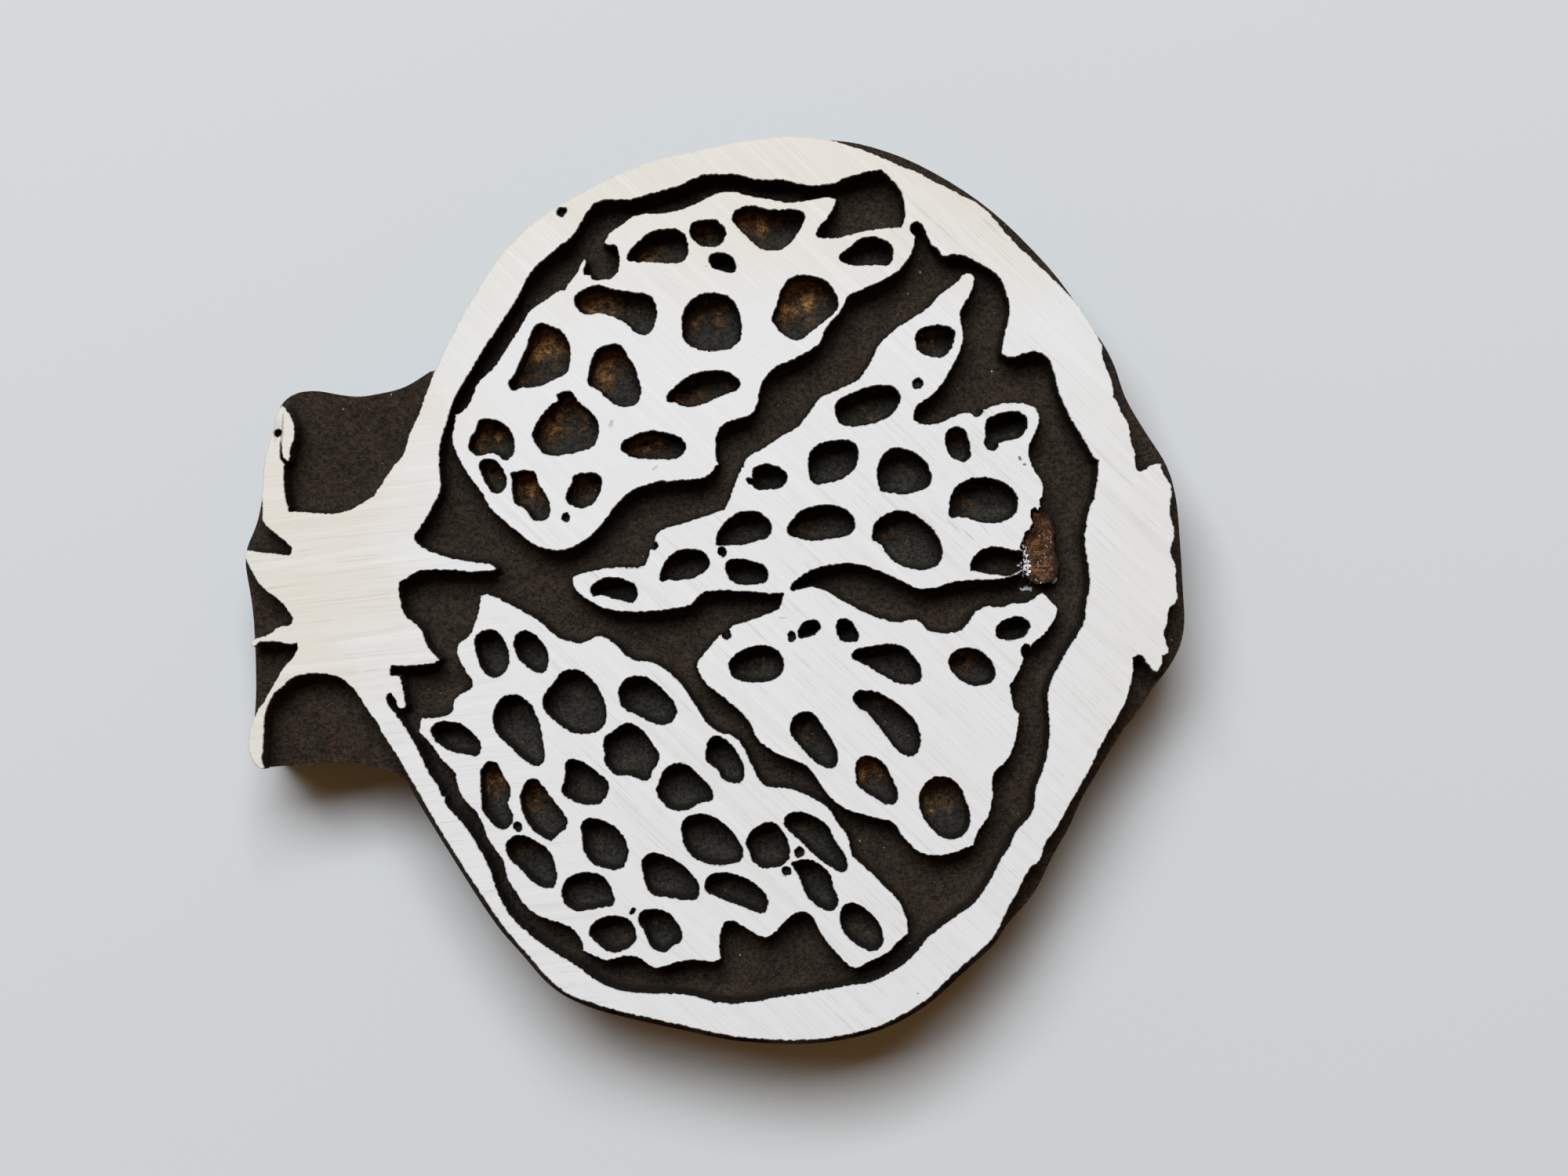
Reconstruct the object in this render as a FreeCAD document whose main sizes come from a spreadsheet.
# Hand-cut wooden printing block for cloth: a pomegranate cut in half, lying with its crown to
# the left (-X), back flat on the table and printing face up (+Z).  All sizes in millimetres.
import FreeCAD, Part
import math
import os

os.makedirs("parts", exist_ok=True)
doc = FreeCAD.newDocument("PrintingBlock")

# Sizes
# The block is measured from its pattern: the crown's tip to the round end of the fruit.
sheet = doc.addObject("Spreadsheet::Sheet", "Sizes")
size_rows = [
    ("pattern_length", "100", "crown tip to round end, on the printing face"),
    ("block_thickness", "22", "back to printing face, without the white coat"),
    ("relief_depth", "5", "how deep the ground lies below the printing face"),
    ("break_depth", "2.4", "how deep the broken ledge lies below the printing face"),
    ("dot_depth", "1.5", "depth of the small punched dots"),
    ("coat_thickness", "0.2", "white coat on the printing face"),
    ("overrun", "1", "how far a cutter stands clear of the face"),
    ("arc_deviation", "0.05", "how far the arcs of an outline may stray from its curve"),
]
for row, (alias, value, note) in enumerate(size_rows, start=1):
    sheet.set(f"A{row}", note)
    sheet.set(f"B{row}", value)
    sheet.setAlias(f"B{row}", alias)
doc.recompute()

pattern_length = float(sheet.get("pattern_length"))
arc_deviation = float(sheet.get("arc_deviation"))

# Outlines
# Every outline is read in thousandths of the pattern length, x from the crown's tip and y from
# the lowest edge of the fruit.  An outline is a list of runs.  Each run is one smooth curve that
# starts at a corner and ends at the first point of the next run; a run of one point is a
# straight cut.  An outline with a single run is a smooth closed loop without a corner.
SHARES_PER_LENGTH = 1000

# Foot of the block at ground level, a little wider than the printing face.
foot_share = [
    [(15, 288), (23, 288.5), (38, 289.5), (53, 288), (69, 291), (90, 294), (105, 294),
     (130, 289), (150, 284), (166, 275)],
    [(168, 271), (180, 250), (204, 210), (230, 168), (250, 138), (271, 108), (292, 85),
     (316, 58), (334, 43), (355, 32), (396, 19), (447, 8), (497, -3.5), (539, -9.5),
     (580, -12), (622, -10), (663, -2), (705, 14), (737, 34), (759, 54), (777, 71),
     (794, 86), (809, 102), (820, 119), (833, 133), (846, 149), (856, 165), (866, 186),
     (875, 203), (887, 224), (899, 253), (912, 275), (924, 297), (937, 316), (951, 337),
     (965, 355), (979, 376), (993, 393), (1004, 413), (1011, 436), (1012, 454),
     (1010, 485), (1008, 521), (1006, 551), (1003, 580), (998, 602), (990, 622),
     (973, 648), (957, 674), (946, 696), (938, 720), (927, 743), (917, 760), (906, 775),
     (896, 790), (886, 804), (878, 816), (861, 836), (837, 858), (815, 878), (800, 891),
     (787, 904), (764, 920), (733, 940), (703, 952), (672, 963), (650, 968), (624, 971),
     (596, 971), (570, 970), (545, 967), (520, 962), (490, 956), (455, 947), (430, 941),
     (410, 933), (388, 923), (365, 911), (339, 898), (314, 882), (293, 864), (273, 843),
     (256, 819), (243, 798), (230, 778), (218, 754), (208, 735), (202, 724)],
    [(193, 720), (184, 714), (174, 708), (162, 702), (146, 698), (130, 695), (115, 693),
     (100, 694), (84, 696), (69, 698), (57, 698), (46, 695), (38, 690), (31, 682)],
    [(27, 672), (23, 655), (19, 636), (15, 616), (12, 596), (9, 576), (5, 557), (-2, 539),
     (-7, 525), (-8, 510), (-7, 497), (-4, 481), (-1, 465), (1, 450), (2, 434), (2.5, 415),
     (3, 390), (3, 362), (1.5, 340), (1, 320), (3, 304), (8, 293)],
]

# Printing face, outer edge: crown, its two hollows that open at the rim, its three notches on
# the left, and the rind all round the fruit.
face_share = [
    [(21, 292), (18.5, 301), (19, 311), (20.5, 325), (21, 340), (22.5, 351), (26, 362),
     (32, 371), (40, 377.5), (48, 385.5), (56, 389.5), (66, 391.5), (80, 392.5),
     (92, 390.5), (101, 388), (110, 381), (120, 371), (128, 359), (135, 347), (142, 338)],
    [(145, 331), (151, 322), (160, 307.5), (169, 292), (180, 274), (205, 231),
     (221, 206), (240, 175), (260, 145), (281, 115), (301, 93), (319, 72), (340, 53),
     (360, 44), (400, 31), (450, 20), (500, 8), (540, 2), (580, 0), (620, 2), (660, 10),
     (700, 25), (730, 44), (750, 63), (768, 80), (785, 95), (800, 110), (811, 131),
     (821, 149), (833, 172)],
    [(842, 187), (849, 191), (853, 200), (857, 212), (869, 228), (880, 249), (888, 262),
     (899, 282), (910, 303), (921, 325), (932, 343), (941, 360), (948, 380), (950, 395)],
    [(950, 410), (956, 411.5)],
    [(961, 411), (964, 404), (970, 397), (975, 394), (979, 399), (981, 405)],
    [(981, 411), (986, 413), (988, 417), (985, 425), (983, 433), (984, 440), (987, 447),
     (987, 455), (990, 462.5)],
    [(996, 468), (997, 476), (996, 488), (996, 502), (993, 514), (990, 522), (992, 531),
     (994, 541), (992, 551), (989.5, 563), (990, 575), (991, 585), (990, 593),
     (985, 602), (981, 608)],
    [(981, 616), (975, 616.5), (967, 613.5), (958, 608.5), (954, 611), (952.5, 620)],
    [(952, 630), (948, 639), (946.5, 650), (944, 662), (938, 670), (934, 680)],
    [(929, 687), (928, 700), (924, 712), (919, 724), (917, 735)],
    [(917, 743), (911, 754), (903, 767), (893, 783), (883, 796), (874, 805), (862, 816),
     (850, 828), (836, 841), (820, 857), (808, 871), (796, 884), (783, 895), (770, 901.5),
     (757, 909.5), (740, 917), (720, 928), (700, 935.5), (680, 944.5), (665, 950.5),
     (651, 957), (635, 961), (615, 964), (595, 966), (575, 966), (555, 964.5), (530, 961),
     (505, 956), (480, 951), (455, 945), (430, 939), (410, 931), (388, 920.5),
     (365, 909), (340, 895), (315, 879), (295, 862), (275, 841), (258, 817), (245, 796),
     (232, 776), (220, 752), (212, 735)],
    [(205, 720), (200, 709), (195, 696), (188, 675), (181, 658), (175, 644), (170, 630),
     (164, 619), (155, 609), (148, 598), (142, 589.5)],
    [(139, 583), (130, 577.5), (121, 572), (112, 567), (100, 564.5), (85, 563),
     (70, 564), (58, 565)],
    [(47, 565), (44, 580), (42, 595), (42, 608)],
    [(43, 616), (40, 618.5), (37.8, 622), (37.3, 629)],
    [(37.8, 640), (39, 629), (40.5, 622.5)],
    [(46.5, 619), (48, 626), (50, 636), (53, 646), (53, 655), (51, 663), (47, 671)],
    [(40, 679), (36, 673), (33, 663), (29, 650), (26, 638), (22, 626), (20, 612),
     (19, 595), (18.5, 575)],
    [(18, 557), (25, 548), (33, 541), (41, 535)],
    [(49, 527.5), (50, 523), (47, 519), (35, 520), (20, 521)],
    [(2, 524.5)],
    [(0, 516), (3, 509), (7, 500), (10, 494.5), (17, 486), (28, 476), (40, 467),
     (47, 458), (50.5, 450), (49.5, 445.5), (45, 444), (38, 442.5), (30, 437),
     (23, 433), (15, 431)],
    [(6, 424.5), (6.5, 422)],
    [(10, 421), (14, 424), (22, 425.5), (33, 426), (46, 424)],
    [(56, 424.5), (56.5, 419), (54, 413), (48, 406), (42, 399), (36, 390), (31, 380),
     (24, 369), (18, 359)],
    [(14, 354), (9, 343), (5, 331), (3.5, 318), (6, 304), (11, 294.5), (17, 290.5)],
]

# Main channel inside the rind.  It runs all round the seed cells; the upper left cell hangs on
# the rind by one narrow bridge and so is part of this edge.
channel_share = [
    [(269, 504.5), (262, 502), (250, 501), (243, 500.5), (230, 501.5), (215, 502.5),
     (200, 502), (185, 501), (176, 496)],
    [(166, 489), (165, 480), (166.5, 470), (169, 460), (174, 452), (180, 448),
     (186, 442), (191, 434), (194, 424), (200, 416), (205, 410)],
    [(208, 407.5), (203, 403.5), (190, 401.5), (172, 400)],
    [(157, 400), (155, 396), (155, 393)],
    [(156, 390), (162, 390)],
    [(166, 389), (168, 380), (170, 371), (173, 362), (172.5, 357), (169, 354.5),
     (165, 355), (162, 361), (158, 368), (154, 370.5), (152, 366), (153, 360),
     (160, 350), (168, 340), (174, 331), (181, 320), (187, 307), (191, 298), (198, 284),
     (205, 275.5), (208, 270), (210, 263)],
    [(214, 260), (214, 255)],
    [(217, 249), (228, 238), (238, 225), (247, 212), (255, 198), (263, 183), (268, 166),
     (276, 147), (284, 133), (296, 121), (311, 108.5), (326, 97), (340, 88.5),
     (354, 80), (371, 67.5), (386, 59), (402, 53), (420, 51), (440, 50), (460, 50),
     (480, 47), (500, 41), (520, 39.5), (540, 40.5), (560, 44), (585, 48.5), (610, 52),
     (635, 57), (650, 60), (665, 60.5), (680, 67), (700, 78), (713, 89), (724, 102),
     (735, 114), (748, 122.5), (758, 131), (770, 139.5), (780, 147), (788, 158),
     (797, 171), (803, 184), (811, 198), (819, 210), (823, 220), (832, 232), (840, 241),
     (844, 253), (846, 271), (851, 284), (855, 299), (860, 318), (860.5, 335),
     (859, 352), (858, 365), (860, 381), (869, 398), (877, 413), (886, 428), (895, 443)],
    [(898, 455), (900, 468), (902.5, 482), (903.5, 495), (902, 508), (899, 522),
     (898, 540), (900, 555), (904, 571)],
    [(908.5, 579), (909, 590), (911.5, 602), (912, 612)],
    [(913.5, 620), (904, 629), (896, 645), (884, 662), (877, 677), (871, 690),
     (867, 705), (863, 718), (857, 730), (849, 735), (838, 735.5), (828, 732),
     (818, 730), (811, 732), (809, 737), (811, 748), (813, 758), (816.5, 770),
     (817, 785), (815, 797), (811, 807), (806, 816), (796, 824.5), (784, 831),
     (771, 838), (760, 839.5)],
    [(746, 838.5), (740, 846)],
    [(734, 850), (732, 855), (729, 860), (726.5, 868), (722, 874), (716, 874.5)],
    [(712, 871), (712, 865)],
    [(717, 860), (716, 851), (713, 843), (707, 833), (698, 822.5), (685, 814),
     (670, 806.5), (655, 800)],
    [(644, 795), (641, 786), (635, 776), (627, 769), (621, 760), (615, 746), (607, 739),
     (594, 732), (580, 725), (567, 719), (559, 711), (553, 703), (550, 690), (548, 681),
     (544, 671.5), (535, 666), (522, 663), (511, 657), (505, 648), (504, 638),
     (503.5, 628)],
    [(506.5, 616), (502, 611), (496, 604), (488, 600.5), (475, 599.5), (462, 598.5)],
    [(451, 597), (447, 598), (436, 595.5), (422, 591.5), (408, 583.5), (398, 574),
     (388, 560), (378, 547), (368, 537.5), (356, 530), (345, 525), (333, 524),
     (320, 525.5), (309, 530), (297, 539), (284, 549.5), (272, 560), (262, 569),
     (257, 580), (247, 593), (238, 605.5), (230, 619.5), (224, 633)],
    [(221.5, 641), (222, 650), (224, 660)],
    [(225, 669)],
    [(229, 669.5), (238, 679), (243, 687), (246, 697), (255, 710), (266, 720),
     (276, 734), (286, 749), (294, 762), (302, 776), (308, 783), (320, 791), (331, 799)],
    [(342, 802), (348, 812), (355, 821), (359, 830)],
    [(362, 835), (364, 832), (363, 826)],
    [(363, 819)],
    [(370, 818), (373, 814.5), (382, 813.5), (391, 814.5), (398, 821), (400, 832),
     (399, 844), (396, 850), (390, 851)],
    [(384, 852), (391, 864), (401, 871.5), (411, 878.5), (422, 883), (440, 884),
     (456, 886), (470, 890), (486, 896), (497, 902), (508, 906.5), (522, 907.5),
     (538, 903.5), (555, 900), (568, 898.5), (578, 896), (592, 897), (608, 899.5),
     (622, 901.5)],
    [(632, 900), (629, 888), (621, 876.5), (613, 867), (610.5, 862)],
    [(614, 858), (626, 858), (640, 859.5), (655, 864), (675, 868), (690, 869)],
    [(701, 869.5), (705, 876), (706.5, 883), (705, 897), (702, 907), (694, 917)],
    [(681, 930), (670, 929), (655, 925.5), (640, 921)],
    [(632, 916), (620, 915), (609, 913.5), (597, 914.5), (583, 918), (566, 920),
     (550, 919.5), (540, 922), (528, 925), (510, 925.5), (495, 925.5), (480, 921),
     (466, 914), (450, 909), (435, 905), (418, 901), (402, 898.5), (387, 898.5),
     (376, 895.5), (367, 886), (358, 872), (348, 858), (335, 847.5), (320, 834),
     (307, 822), (298, 806), (290, 791), (281, 777), (268, 758), (255, 738), (242, 716),
     (231, 699), (223, 682), (216, 662), (210, 643), (207.5, 628), (208, 612),
     (209.5, 598), (208.5, 586), (203, 575), (197, 564), (190, 551), (184, 543),
     (181.5, 537), (184, 532), (195, 525), (206, 520), (220, 516), (235, 512.5),
     (250, 511), (262, 509)],
]

# Edge of the two right-hand cells, which hold together by a bridge between the tips of the two
# channels.  One seed has broken out into the channel on the right.
right_cells_share = [
    [(350.5, 491), (352, 495), (357, 498.5), (366, 501), (378, 504.5), (392, 505.5),
     (408, 506), (423, 506.5), (428, 511), (431, 517)],
    [(432, 524), (436, 525), (440, 525.5), (441.5, 529)],
    [(438, 533), (439.5, 539), (444, 543.5), (452, 547.5), (465, 552), (480, 557),
     (497, 562.5)],
    [(513, 568), (518, 578), (522, 590), (527, 603)],
    [(531, 612), (534, 614)],
    [(534, 618), (540, 625), (550, 631), (562, 638), (571, 645), (581, 650),
     (592, 656), (601, 667.5), (609, 679), (616, 687.5), (627, 692.5), (641, 699.5),
     (653, 705), (664, 718), (671, 730), (677, 742), (688, 754), (700, 763.5),
     (714, 772), (728, 782), (737, 790), (746, 800), (758, 808.5), (769, 818.5),
     (774, 820.5), (779.5, 816), (779, 806), (774, 794), (768, 785), (764.5, 776),
     (767, 762), (768, 750), (765, 738), (759, 726), (751, 710), (742, 697), (730, 686),
     (720, 679), (716, 672)],
    [(715, 664), (722, 659.5), (730, 658), (745, 661), (758, 667.5), (770, 671)],
    [(777, 670), (781, 667), (786, 668)],
    [(789.5, 674), (796, 676.5), (808, 680.5), (822, 681.5), (834, 681), (843, 677),
     (849, 669), (849, 660), (845, 649), (840, 640), (838.5, 629), (839.5, 619),
     (846, 608), (852, 597), (854, 587), (851, 578)],
    [(852, 571)],
    [(848, 567)],
    [(845, 570)],
    [(841, 567), (841, 560)],
    [(843, 553)],
    [(839, 546)],
    [(835, 542)],
    [(832, 534)],
    [(829, 528)],
    [(830, 523), (819, 524), (811, 525.5), (803, 527), (795, 526.5), (787, 523),
     (781, 518), (777, 511)],
    [(776, 502), (787, 500.5), (795, 498.5), (804, 498), (812, 496.5), (820, 498)],
    [(831, 504)],
    [(828, 499), (815, 494.5), (800, 492.5), (785, 491.5), (768, 491), (755, 488.5),
     (742, 484.5), (730, 482), (720, 482.5), (708, 488), (694, 495), (680, 501),
     (665, 505.5), (652, 508.5), (640, 509.5), (625, 507.5), (612, 504.5), (600, 499.5),
     (591, 492.5), (585, 488)],
    [(584, 481.5), (592, 481.5), (600, 484.5), (612, 483.5), (624, 479.5), (638, 471),
     (652, 463.5), (668, 455.5), (684, 450), (698, 447.5), (712, 450), (721, 448),
     (726, 442.5), (733, 438), (745, 435.5), (757, 436), (766, 439), (773, 446),
     (779, 456), (787, 461.5), (794, 464.5), (804, 463.5), (812, 463.5), (820, 467),
     (830, 467), (840, 470), (848, 476)],
    [(853, 479), (860, 472)],
    [(869, 462), (867, 453), (861, 442), (853, 432), (845, 425.5)],
    [(840, 420.5), (836, 424), (831, 422), (830, 416)],
    [(832.5, 410), (830, 401), (824, 388)],
    [(818, 378), (820, 368), (823, 357)],
    [(828, 350), (828, 342), (826, 330), (823, 316), (818, 304), (811, 294.5),
     (803, 288), (800, 280), (800, 265), (798, 250), (795, 238), (786, 225), (781, 215)],
    [(779, 208.5), (765, 203), (750, 198.5), (737, 197.5), (724, 200), (711, 210),
     (701, 221), (694, 231.5), (686, 235), (674, 237), (660, 241.5), (646, 245.5),
     (635, 252), (623, 263), (612, 278), (606, 288), (594, 296.5), (579, 302),
     (562, 310.5), (549, 320.5), (543, 331), (538, 341.5), (529, 352), (516, 363),
     (503, 373), (492, 381.5), (486, 392), (483.5, 401), (488, 410), (497, 421),
     (506, 431)],
    [(511, 434), (512, 430), (516, 428.5), (519.5, 431)],
    [(518, 438), (521, 443), (529, 446), (540, 449.5), (552, 453.5), (563, 457.5),
     (571, 462.5), (574, 470)],
    [(576, 477.5), (571, 478), (560, 477.5), (545, 479), (528, 479.5), (510, 481),
     (498, 480), (489, 477.5), (483, 471), (476, 465), (463, 462), (445, 459.5),
     (425, 458), (405, 458.5), (390, 460.5), (373, 467), (360, 475), (353, 482)],
]

# Edge of the lower left cell.
left_cell_share = [
    [(189.5, 344), (198, 344.5), (210, 346)],
    [(219, 348), (222, 354), (223.5, 362), (230, 370), (238, 374.5)],
    [(243, 378), (242.5, 386)],
    [(237, 392), (233, 400), (228, 410), (227, 419), (230, 425), (238, 431),
     (243, 440), (247, 449), (250, 461)],
    [(252, 475), (257, 477.5), (263, 476), (273, 471), (286, 465), (298, 458),
     (310, 452), (319, 445), (328, 436.5), (338, 429), (350, 426.5), (361, 425),
     (370, 429.5), (378, 432), (388, 429), (397, 423), (404, 416), (411, 409),
     (423, 406), (438, 403), (450, 396), (463, 386), (474, 371), (484, 355.5),
     (494, 340), (504, 331.5), (517, 327), (528, 321), (535, 309.5), (543, 294),
     (549, 280.5), (557, 272), (570, 270), (585, 268.5), (600, 262.5), (614, 255.5),
     (626, 246), (634, 233), (644, 221), (647, 210), (650, 198.5), (660, 188),
     (674, 175), (688, 161), (699, 149), (706, 135), (709.5, 122)],
    [(709, 114), (700, 106), (690, 96.5), (680, 89), (668, 84), (659, 78.5),
     (651, 77.5), (641, 84), (630, 96), (620, 109), (612, 121.5), (607, 132),
     (598, 137), (588, 135), (577, 126), (567, 115.5), (557, 110), (547, 112.5),
     (535, 120), (524, 125), (515, 127), (511, 122), (508, 110), (508, 98)],
    [(509.5, 88), (503, 84.5), (490, 84.5), (475, 85.5), (462, 82.5), (450, 79.5),
     (440, 77), (430, 81.5), (421, 88), (411, 90), (399, 88), (387, 85), (376, 89)],
    [(361, 95), (360.5, 103), (356, 113), (347, 121), (334, 126), (319, 130.5),
     (307, 136.5), (297, 147), (286, 164), (279, 180), (274, 196), (264, 209),
     (257, 221), (252, 235), (245, 245.5), (235, 257), (229, 269), (226, 279)],
    [(225, 286), (216, 294.5), (209, 301.5), (202, 311.5), (193, 322)],
    [(186, 329), (187, 337)],
]

# Broken ledge on the right, where the edge of a cell has split away below the face.  Its left
# side reaches in under the cell.
break_share = [
    [(846, 575), (853, 567), (861, 561), (865, 550), (866, 536), (869, 518), (870, 503),
     (865, 493), (854, 489), (843, 491), (837, 498), (835, 508), (835.5, 519),
     (827, 533), (829, 546), (833, 557), (838, 568)],
]

# Seeds: smooth closed hollows, each cut down to the ground.
upper_left_seed_shares = [
    [(283, 698), (284, 706), (289, 713), (293, 723), (299, 735), (304, 748), (307, 757),
     (316, 766.5), (325, 764.5), (335, 760.5), (343, 752), (347.5, 741), (347, 726),
     (344, 714), (336, 709), (322, 703), (310, 698.5), (297, 698)],
    [(249, 659), (253, 664), (261, 664), (270, 662.5), (279, 657), (285, 649),
     (288, 639), (287.5, 629), (284, 623), (278.5, 620.5), (273, 624), (267, 628),
     (258, 627), (249, 625.5), (243, 630), (240, 638), (244, 647)],
    [(252, 618), (257, 621), (265, 621), (270, 618.5), (275, 611), (277.5, 603),
     (279, 596), (276, 588.5), (270, 584.5), (265, 586.5), (259, 594), (254.5, 602),
     (252, 610)],
    [(286, 607), (297, 608.5), (309, 607), (312.5, 598), (318, 588), (325, 576),
     (326, 567), (323, 558), (315, 556), (307, 558), (303, 565), (296, 570.5),
     (289, 573.5), (286, 583), (286, 595)],
    [(335, 691), (340, 693), (350, 693), (353, 688), (356, 683.5), (365, 676),
     (374, 667), (378.5, 655), (377, 643), (371, 634), (360, 630), (347, 627),
     (333, 625.5), (322, 627), (315, 633), (308.5, 642), (309, 653), (314, 663),
     (321, 672), (330, 681), (335, 685)],
    [(344, 577), (344.5, 586), (349, 594), (352, 603), (361, 606), (370, 606.5),
     (378, 605.5), (381.5, 598), (380.5, 588), (376, 580), (371, 573), (363, 569.5),
     (356, 569.5), (349, 573)],
    [(353, 788), (355, 796), (363, 802), (371, 806), (381, 806.5), (391, 803),
     (405, 801), (417, 799), (428, 798), (436, 792), (440.5, 782), (440, 772),
     (436, 762), (429, 755), (421, 755.5), (414, 760), (407, 767.5), (399, 771.5),
     (389, 776.5), (378, 777.5), (366, 776.5), (358, 780)],
    [(366.5, 706), (368.5, 718), (372, 730), (378, 739.5), (386, 743.5), (395, 744.5),
     (402, 742), (409, 731.5), (416, 721), (420, 709), (423.5, 698), (422.5, 688),
     (418, 680), (410, 677.5), (401, 678.5), (391, 683), (382, 691), (374, 698),
     (368, 700.5)],
    [(402, 635), (405, 641.5), (413, 645), (423, 649.5), (434, 651.5), (446, 650.5),
     (458, 647.5), (467, 642.5), (471, 635), (469.5, 628), (461, 622.5), (448, 621.5),
     (435, 622), (421, 622), (410, 626)],
    [(467.5, 768), (469.5, 780), (475, 789), (484, 796), (495, 799), (506, 798),
     (517, 795), (524.5, 787), (528.5, 776), (531, 764), (530, 752), (524, 743),
     (513, 738.5), (498, 737.5), (484, 740), (473, 745), (468.5, 755)],
    [(451, 685), (453, 691.5), (460, 698), (469, 706), (479, 711.5), (490, 715),
     (502, 716.5), (514, 715), (523, 710), (529, 704.5), (527, 697), (519, 693),
     (506, 688), (493, 682), (480, 678), (468, 678.5), (458, 682.5)],
    [(409, 836), (411, 843), (418, 851), (427, 859.5), (438, 865), (452, 867.5),
     (463, 866), (471, 859), (473.5, 849), (473, 839), (466, 833), (454, 831.5),
     (440, 832), (428, 832), (416, 833)],
    [(476, 862), (477, 870), (483, 876), (492, 877), (503, 877), (509, 872),
     (514, 867), (513, 858), (508, 851), (498, 848.5), (487, 850.5), (479, 857)],
    [(496.5, 833), (499, 840.5), (507, 842), (517, 840), (523, 834.5), (525.5, 826),
     (522, 821.5), (512, 822.5), (502, 826)],
    [(521, 881), (526, 888), (536, 891.5), (550, 891.5), (561, 888.5), (575, 888),
     (588, 888), (597, 885), (598, 877), (592, 865), (585, 855), (577, 847.5),
     (567, 845), (554, 846), (545, 851), (537, 860), (527, 870)],
    [(636, 835), (637.5, 841.5), (646, 847), (655, 855), (665, 858), (675, 859),
     (684, 854.5), (692, 849), (692.5, 839), (690, 831), (681, 828.5), (667, 829.5),
     (653, 828.5), (642, 831)],
    [(564, 775), (568, 785), (572, 796), (577, 807), (585, 815), (594, 818),
     (605, 817.5), (617, 814), (627, 807), (632, 797), (634.5, 787), (629, 777),
     (618, 768.5), (608, 760), (599, 752), (589, 748.5), (579, 753), (570, 761)],
]
upper_right_seed_shares = [
    [(371, 476), (371, 484), (377, 491), (387, 494.5), (398, 494.5), (409, 491.5),
     (418, 486), (420, 477), (417, 469.5), (411, 468.5), (400, 471.5), (389, 474),
     (381, 476.5)],
    [(444, 492), (445, 501), (449, 510), (456, 519), (465, 523.5), (475, 525),
     (486, 523), (495, 516.5), (496, 507), (491, 500.5), (485, 496.5), (475, 493.5),
     (460, 492), (450, 491.5)],
    [(514, 503), (515, 510.5), (523, 514), (534, 514.5), (545, 511.5), (556, 507),
     (560, 499), (558.5, 491), (549, 488), (537, 487), (525, 488.5), (518, 493)],
    [(504, 531), (506, 541), (511, 550), (519, 558.5), (528, 564), (540, 565.5),
     (550, 564.5), (558, 558), (563, 549), (561.5, 540.5), (553, 536), (541, 532),
     (527, 529.5), (514, 529.5)],
    [(543, 603), (544, 611), (550, 615.5), (559, 616), (569, 612.5), (578, 607.5),
     (579.5, 600), (575, 592), (565, 589.5), (553, 589), (546, 590.5), (541, 595),
     (537.5, 597), (538, 601.5)],
    [(580.5, 547), (585, 555), (591, 562), (599, 568.5), (610, 571), (622, 572.5),
     (634, 571), (644, 566), (651.5, 557), (651.5, 547), (646, 540.5), (634, 538),
     (619, 535.5), (603, 534), (593, 536.5), (584, 539.5)],
    [(602.5, 618), (605, 628), (612, 636), (622, 640), (635, 641.5), (647, 640.5),
     (655, 634), (656, 624), (653, 613), (645, 603.5), (633, 598), (620, 596),
     (608, 596.5), (604, 606)],
    [(631, 675), (634, 683), (644, 689.5), (655, 694), (667, 698.5), (680, 700),
     (692, 698), (700, 692), (699.5, 681), (694, 671), (683, 664), (670, 659.5),
     (655, 657.5), (641, 658), (634, 663)],
    [(676, 603), (677, 613), (681, 623), (689, 631.5), (700, 633), (712, 630),
     (723, 623), (731, 613), (734, 602), (730, 592), (718, 587.5), (703, 584),
     (690, 585.5), (680, 588), (677.5, 595)],
    [(717, 749), (720, 758.5), (730, 763.5), (742, 764.5), (753, 762.5), (759, 757),
     (757, 745), (752, 735.5), (743, 730.5), (731, 732.5), (721, 737)],
    [(749, 641), (751, 650), (757, 655.5), (765, 655), (771, 648.5), (774, 638),
     (776, 627), (772, 619.5), (763, 620), (754, 625), (750, 633)],
    [(792, 653), (794, 663), (803, 667.5), (814, 671), (826, 672), (834, 667.5),
     (837, 658), (833, 649), (824, 643), (812, 641), (806.5, 638.5), (804, 633),
     (798, 631), (793, 634), (791, 643)],
    [(753, 563), (754, 575), (757, 586), (765, 595), (777, 600.5), (790, 601.5),
     (804, 599), (816, 593.5), (824, 584.5), (827, 573), (823, 562.5), (812, 555.5),
     (798, 553), (784, 554.5), (772, 558.5), (764, 559.5), (757, 558.5)],
    [(671, 536), (672, 547), (677, 556), (686, 562), (697, 566), (709, 565),
     (721, 558.5), (732, 549), (741, 537), (746, 524), (744, 511), (735, 505),
     (721, 503.5), (708, 505.5), (696, 511.5), (687, 519), (681, 529), (675, 533)],
]
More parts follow.
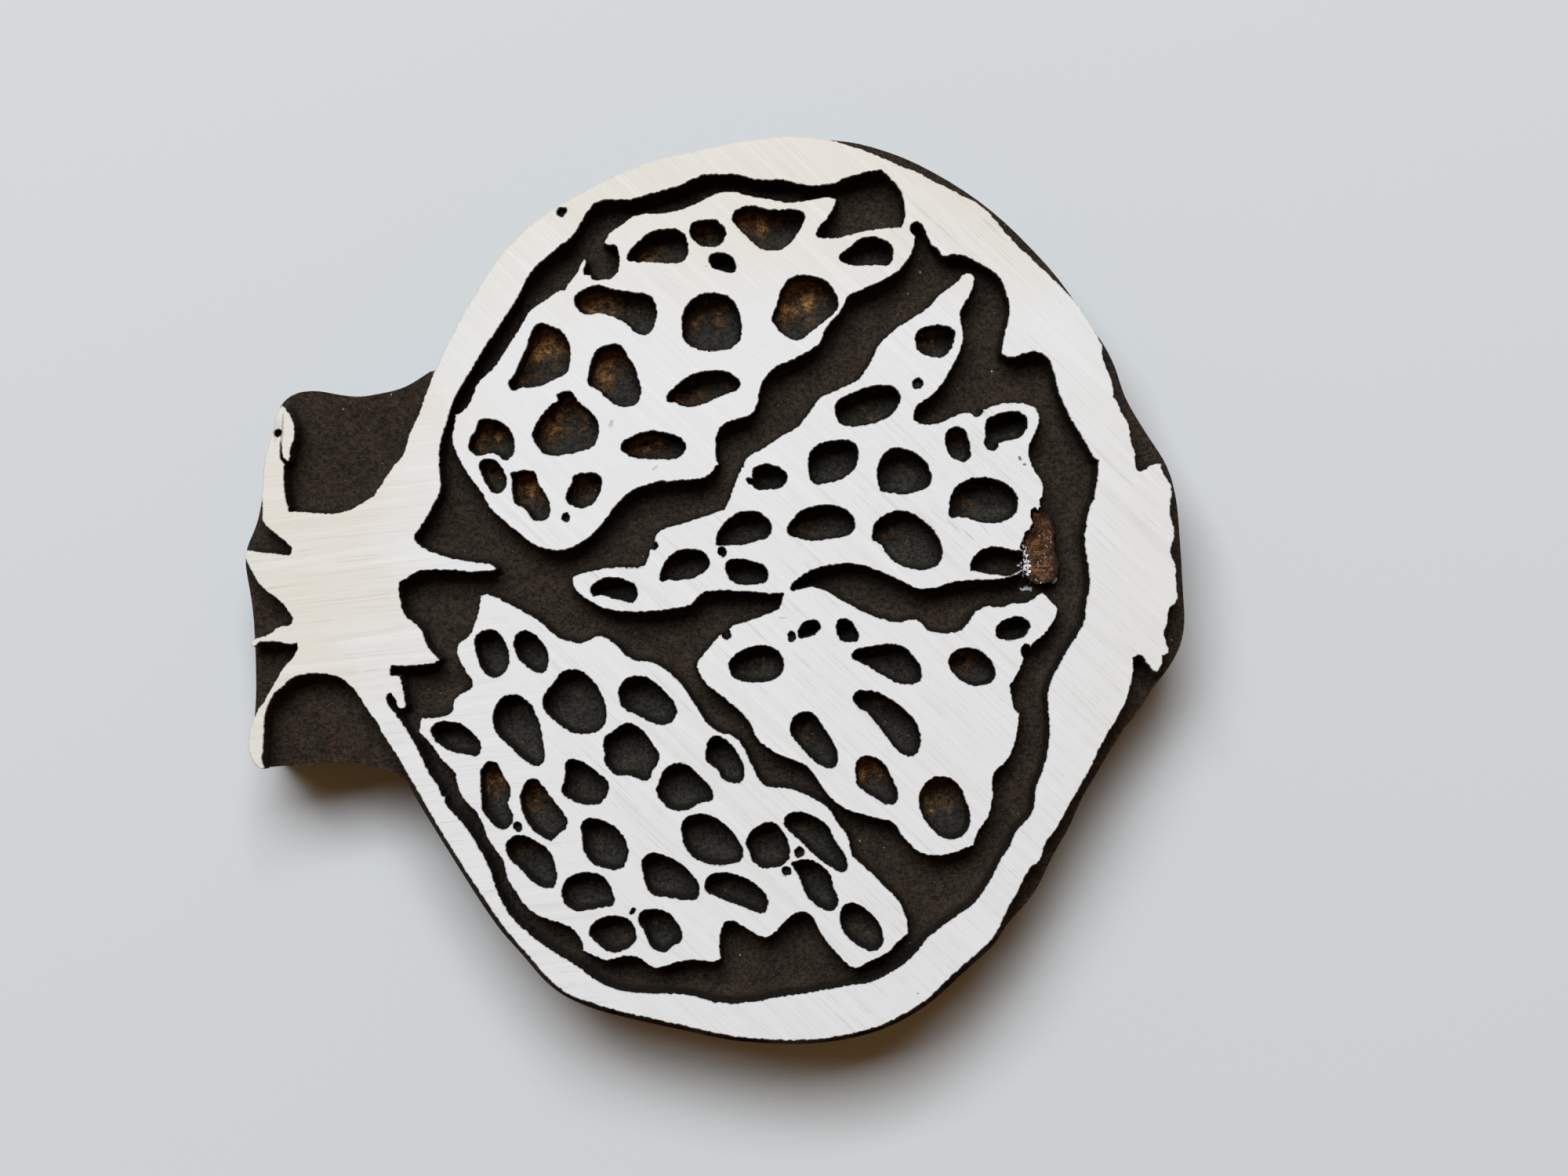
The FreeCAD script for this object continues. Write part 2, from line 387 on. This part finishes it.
lower_right_seed_shares = [
    [(517.5, 401), (521, 409.5), (530, 415.5), (541, 420.5), (554, 422.5), (566, 419.5),
     (574, 411), (576, 401), (573, 391), (564, 385), (551, 383), (536, 383.5),
     (524, 387), (518, 394)],
    [(591, 434), (593, 441), (598, 446.5), (605, 449), (613, 447.5), (615, 441),
     (611, 435), (603, 431.5), (595, 430)],
    [(633, 436), (635, 449), (642, 450.5), (649, 446), (655, 438), (656, 429),
     (649, 425.5), (640, 426.5)],
    [(650, 414), (657, 418.5), (670, 421), (684, 423), (699, 422.5), (708, 418),
     (716, 409), (722, 399), (723, 388), (716, 382), (704, 381), (693, 385.5),
     (681, 391), (669, 398.5), (657, 404), (650.5, 407)],
    [(651, 367), (655, 372.5), (664, 373.5), (675, 372), (686, 366.5), (698, 359.5),
     (709, 349.5), (718, 337), (722, 324), (720.5, 311), (714, 304.5), (703, 306.5),
     (694, 315), (684, 328), (674, 340), (665, 351), (656, 356.5)],
    [(583, 333), (585.5, 343), (592, 350), (600, 351), (609, 347.5), (616, 337.5),
     (625, 325), (632, 312), (633.5, 299), (628, 291), (617, 293.5), (606, 301),
     (597, 311), (588, 321.5)],
    [(653, 287), (655, 298), (662, 304), (672, 302.5), (681, 297.5), (688, 288),
     (694, 276), (698, 263), (694, 253), (684, 254), (672, 260.5), (660, 268.5),
     (653.5, 276)],
    [(721, 257), (724, 269), (732, 278), (745, 282), (757, 278.5), (766, 269),
     (770, 257), (774.5, 246), (775, 233), (771, 222.5), (761, 216), (749, 216),
     (739, 222), (730, 232), (723, 244)],
    [(753, 405), (758, 414.5), (769, 419.5), (782, 418), (794, 411), (801, 399),
     (801.5, 388), (792, 380), (779, 379.5), (766, 384), (757, 393.5)],
    [(803, 434), (805, 442.5), (813, 449.5), (824, 452.5), (835, 450.5), (839.5, 443),
     (836, 434), (825, 429), (811, 429)],
]
lower_left_seed_shares = [
    [(245.5, 425), (249, 434.5), (258, 438.5), (266, 438.5), (275, 430), (280.5, 418),
     (282, 404), (278, 393), (269, 388.5), (260, 390), (253, 399), (248, 411)],
    [(288, 422), (290.5, 433), (298, 438.5), (308, 434.5), (317, 427), (323, 415),
     (324, 403), (320, 394), (312, 393.5), (302, 399), (294, 407), (289, 415)],
    [(286, 369.5), (297, 366), (307, 356.5), (314, 341), (317.5, 325), (320.5, 308),
     (319, 297), (313, 293.5), (303, 297), (291, 307), (278, 320), (268, 332),
     (266.5, 346), (270, 360), (278, 367)],
    [(200, 335), (206, 339.5), (217, 340.5), (229, 338.5), (240, 331), (249, 322),
     (252.5, 312), (248, 304.5), (238, 305.5), (225, 308), (212, 313.5), (202, 323)],
    [(318.5, 361), (323, 374), (331, 383), (339, 393), (350, 396.5), (361, 393.5),
     (372, 384), (381, 371), (386, 357), (386, 343), (379, 332), (366, 328),
     (351, 329), (337, 337), (325, 348)],
    [(400, 368), (402, 379), (410, 387.5), (421, 390), (433, 386), (444, 378),
     (453, 367), (461, 356), (461, 346), (454, 339), (444, 337), (431, 342),
     (417, 349), (404, 356.5)],
    [(384, 312), (386, 324), (396, 331.5), (406, 338.5), (417, 336.5), (428, 328),
     (436, 316.5), (443, 302), (437, 290.5), (430, 278), (421, 279.5), (410, 283),
     (399, 283), (389, 291), (384.5, 300)],
    [(340, 272), (342.5, 288), (345, 299), (356, 299), (368, 293), (380, 283),
     (388, 275), (386, 262), (379, 253), (364, 252), (351, 256.5), (341, 262)],
    [(441, 270), (446, 284), (454, 294), (465, 296), (476, 292.5), (487, 281),
     (498, 270), (500, 257), (490, 254.5), (480, 250), (469, 245.5), (456, 247),
     (446, 256)],
    [(493, 303), (495, 317), (500, 324), (512, 322.5), (522, 313), (530, 300),
     (534, 286), (530, 276.5), (519, 275.5), (510, 281), (505, 290), (496, 295)],
    [(252, 276), (255, 292), (260, 297), (268, 296.5), (275, 285), (283, 270),
     (283, 259), (281, 253), (286, 243), (285, 232), (278, 226), (268, 228),
     (261, 237), (254.5, 245), (254, 260)],
    [(295, 262), (299, 273), (305, 279.5), (313, 278.5), (323, 265), (334, 251),
     (343, 238), (343, 226), (334, 220), (328, 214), (318, 218), (306, 227),
     (299, 240), (296, 251)],
    [(279, 204), (282, 214), (291, 219), (302, 217), (315, 210.5), (325, 202),
     (331, 188), (333, 173), (328, 163), (314, 166), (303, 174), (293, 185),
     (283, 193)],
    [(360, 226), (363, 234.5), (374, 236), (387, 233), (399, 224.5), (406, 214),
     (409.5, 203), (407, 190), (398, 182.5), (386, 184), (372, 189.5), (364, 201),
     (361, 213)],
    [(467.5, 222), (471, 237), (482, 241.5), (497, 240), (510, 232.5), (522, 222.5),
     (529, 211), (533.5, 199), (527, 191), (513, 188), (497, 188.5), (482, 194.5),
     (472, 205)],
    [(536, 212), (541, 222), (551, 230), (561, 233.5), (572, 227.5), (580, 214),
     (582.5, 200), (578, 189.5), (566, 184.5), (554, 185), (544, 190.5), (540, 202)],
    [(578.5, 238), (587, 243.5), (598, 244), (610, 238), (621, 231), (628, 219),
     (637, 204), (644, 190), (641, 180), (630, 183.5), (617, 192), (604, 203),
     (591, 216), (579, 227)],
    [(586, 190.5), (595, 192.5), (605, 192.5), (616, 186.5), (627, 176), (629, 163),
     (634, 149), (630, 139.5), (618, 140), (606, 149), (597, 163), (592, 177)],
    [(425, 183), (427, 196), (437, 200), (452, 196), (468, 187.5), (480, 173),
     (486, 160), (482, 151), (468, 150.5), (452, 153), (437, 155), (429, 166)],
    [(492, 164), (496, 175), (507, 179), (522, 177.5), (537, 172), (551, 162),
     (559, 149), (555, 136.5), (541, 139.5), (524, 146), (506, 153), (496, 158)],
    [(339, 160), (343, 170), (352, 177), (365, 179.5), (379, 177), (388, 168),
     (394, 154), (392, 144), (378, 142), (362, 138), (351, 138.5), (342, 148)],
    [(369, 117), (374, 126), (384, 131.5), (397, 132.5), (410, 129), (417.5, 118),
     (417, 104), (407, 97.5), (394, 94), (381, 100), (372, 109)],
    [(420.5, 130), (425, 138.5), (437, 139.5), (451, 136.5), (460, 128), (467, 116),
     (466, 106), (457, 100.5), (450, 94), (439, 96.5), (431, 105), (427, 118)],
    [(636.5, 131), (641, 144), (650, 146.5), (661, 142), (672, 133), (680, 119),
     (682, 104), (674, 95.5), (661, 98.5), (648, 107.5), (638, 120)],
]

# Small punched dots, shallower than the seeds: two on crown and rind, then cell by cell.
rim_dot_shares = [
    [(334, 885), (338, 890), (343.5, 890), (342.5, 883.5), (338, 880)],
    [(32, 646), (32.5, 652), (38, 653), (38, 646.5)],
    [(338.5, 560), (342, 564), (346.5, 563), (347, 557.5), (343.5, 554.5)],
]
right_dot_shares = [
    [(506, 522), (508, 526.5), (513.5, 526), (514.5, 520), (510.5, 517.5)],
    [(714.5, 699), (717, 705.5), (724, 706), (725, 700), (720, 697)],
    [(581, 433), (584, 437.5), (588, 435.5), (588.5, 429), (584, 425.5)],
]
left_dot_shares = [
    [(287.5, 227), (289, 232.5), (295, 232.5), (296, 226), (291.5, 223)],
    [(588, 201), (591, 206), (597, 206), (596.5, 197), (590.5, 195.5)],
    [(574.5, 180), (577, 184.5), (583, 184), (582.5, 177), (577, 176.5)],
    [(411.5, 137), (414.5, 140), (417.5, 139.5), (415, 135)],
]


def to_length(point):
    """Point of an outline in thousandths of the pattern length, as a vector in millimetres."""
    step = pattern_length / SHARES_PER_LENGTH
    return FreeCAD.Vector(point[0] * step, point[1] * step, 0)


def spacing_parameters(points):
    """Curve parameters that grow with the square root of the spacing, so bends stay tight."""
    values = [0.0]
    for before, after in zip(points, points[1:]):
        values.append(values[-1] + math.sqrt(before.distanceToPoint(after)))
    return values


def as_arcs(curve):
    """A curve as a chain of circular arcs and straight pieces that meet smoothly."""
    return [piece.toShape() for piece in curve.toBiArcs(arc_deviation)]


def closed_edges(shares):
    """Edges of one closed curve through all the points."""
    points = [to_length(share) for share in shares]
    curve = Part.BSplineCurve()
    curve.interpolate(
        Points=points, PeriodicFlag=True, Parameters=spacing_parameters(points + points[:1]))
    return as_arcs(curve)


def run_edges(shares):
    """Edges of one curve from corner to corner, or a straight edge between two points."""
    points = [to_length(share) for share in shares]
    if len(points) == 2:
        return [Part.makeLine(points[0], points[1])]
    curve = Part.BSplineCurve()
    curve.interpolate(Points=points, Parameters=spacing_parameters(points))
    return as_arcs(curve)


def outline_wire(runs):
    """Closed wire of an outline, whose runs meet in corners."""
    if len(runs) == 1:
        return Part.Wire(closed_edges(runs[0]))
    edges = []
    for run, next_run in zip(runs, runs[1:] + runs[:1]):
        edges += run_edges(run + next_run[:1])
    return Part.Wire(edges)


def seed_wires(seed_shares):
    """Closed wires of a list of seeds or dots."""
    return [Part.Wire(closed_edges(shares)) for shares in seed_shares]


foot_wire = outline_wire(foot_share)
# The origin lies under the middle of the block.
middle = foot_wire.BoundBox.Center


def add_profile(name, face, height_expression):
    """Flat profile, centred on the block and set at a height from the sheet."""
    profile = doc.addObject("Part::Feature", name)
    profile.Shape = face
    profile.Placement = FreeCAD.Placement(-middle, FreeCAD.Rotation())
    if height_expression:
        profile.setExpression(".Placement.Base.z", height_expression)
    return profile


def face_with_holes(wires):
    """Flat face inside the first wire, with the other wires as holes or islands."""
    return Part.makeFace(wires, "Part::FaceMakerBullseye")


def add_extrusion(name, profile, length_expression):
    """Solid that stands on a profile and rises along +Z."""
    solid = doc.addObject("Part::Extrusion", name)
    solid.Base = profile
    solid.DirMode = "Custom"
    solid.Dir = FreeCAD.Vector(0, 0, 1)
    solid.Solid = True
    solid.setExpression("LengthFwd", length_expression)
    return solid


ground_height = "Sizes.block_thickness - Sizes.relief_depth"
face_height = "Sizes.block_thickness"

rim_edges = [outline_wire(face_share), outline_wire(channel_share)]
rim_edges += seed_wires(upper_left_seed_shares)
right_edges = [outline_wire(right_cells_share)]
right_edges += seed_wires(upper_right_seed_shares + lower_right_seed_shares)
left_edges = [outline_wire(left_cell_share)]
left_edges += seed_wires(lower_left_seed_shares)

# Foot: everything below the ground
foot_profile = add_profile("FootProfile", face_with_holes([foot_wire]), "")
foot = add_extrusion("Foot", foot_profile, ground_height)

# Lands: the raised parts that print, and the low ledge of the break
lands = []
for name, edges, rise_expression in [
    ("RimLand", rim_edges, "Sizes.relief_depth"),
    ("RightCellsLand", right_edges, "Sizes.relief_depth"),
    ("LeftCellLand", left_edges, "Sizes.relief_depth"),
    ("BrokenLedge", [outline_wire(break_share)], "Sizes.relief_depth - Sizes.break_depth"),
]:
    land_profile = add_profile(name + "Profile", face_with_holes(edges), ground_height)
    lands.append(add_extrusion(name, land_profile, rise_expression))

carved = doc.addObject("Part::MultiFuse", "Carved")
carved.Shapes = [foot] + lands

# Dots: punched into the lands and through the coat
dot_wires = seed_wires(rim_dot_shares + right_dot_shares + left_dot_shares)
dot_faces = Part.makeCompound([Part.Face(wire) for wire in dot_wires])
dot_profile = add_profile("DotProfile", dot_faces, "Sizes.block_thickness - Sizes.dot_depth")
dot_cutters = add_extrusion("DotCutters", dot_profile, "Sizes.dot_depth + Sizes.overrun")

block = doc.addObject("Part::Cut", "Block")
block.Base = carved
block.Tool = dot_cutters
block.Label = "carved_block"

# White coat, one film on each land that stands alone
coats = []
for name, edges, dots, label in [
    ("RimCoat", rim_edges, rim_dot_shares, "coat_crown_and_rind"),
    ("RightCellsCoat", right_edges, right_dot_shares, "coat_right_cells"),
    ("LeftCellCoat", left_edges, left_dot_shares, "coat_lower_left_cell"),
]:
    coat_face = face_with_holes(edges + seed_wires(dots))
    coat_profile = add_profile(name + "Profile", coat_face, face_height)
    coat = add_extrusion(name, coat_profile, "Sizes.coat_thickness")
    coat.Label = label
    coats.append(coat)

doc.recompute()

for thing in doc.Objects:
    if "Invalid" in thing.State or "Error" in thing.State:
        raise RuntimeError(thing.Name + " did not build: " + str(thing.State))

for part in [block] + coats:
    if part.Shape.isNull() or not part.Shape.isValid():
        raise RuntimeError(part.Label + " has no valid shape")
    if len(part.Shape.Solids) != 1:
        raise RuntimeError(part.Label + " is not one solid")
    part.Shape.exportStep("parts/" + part.Label + ".step")
    box = part.Shape.BoundBox
    print(part.Label, "volume", round(part.Shape.Volume), "box",
          [round(value, 2) for value in (box.XMin, box.YMin, box.ZMin,
                                         box.XMax, box.YMax, box.ZMax)])
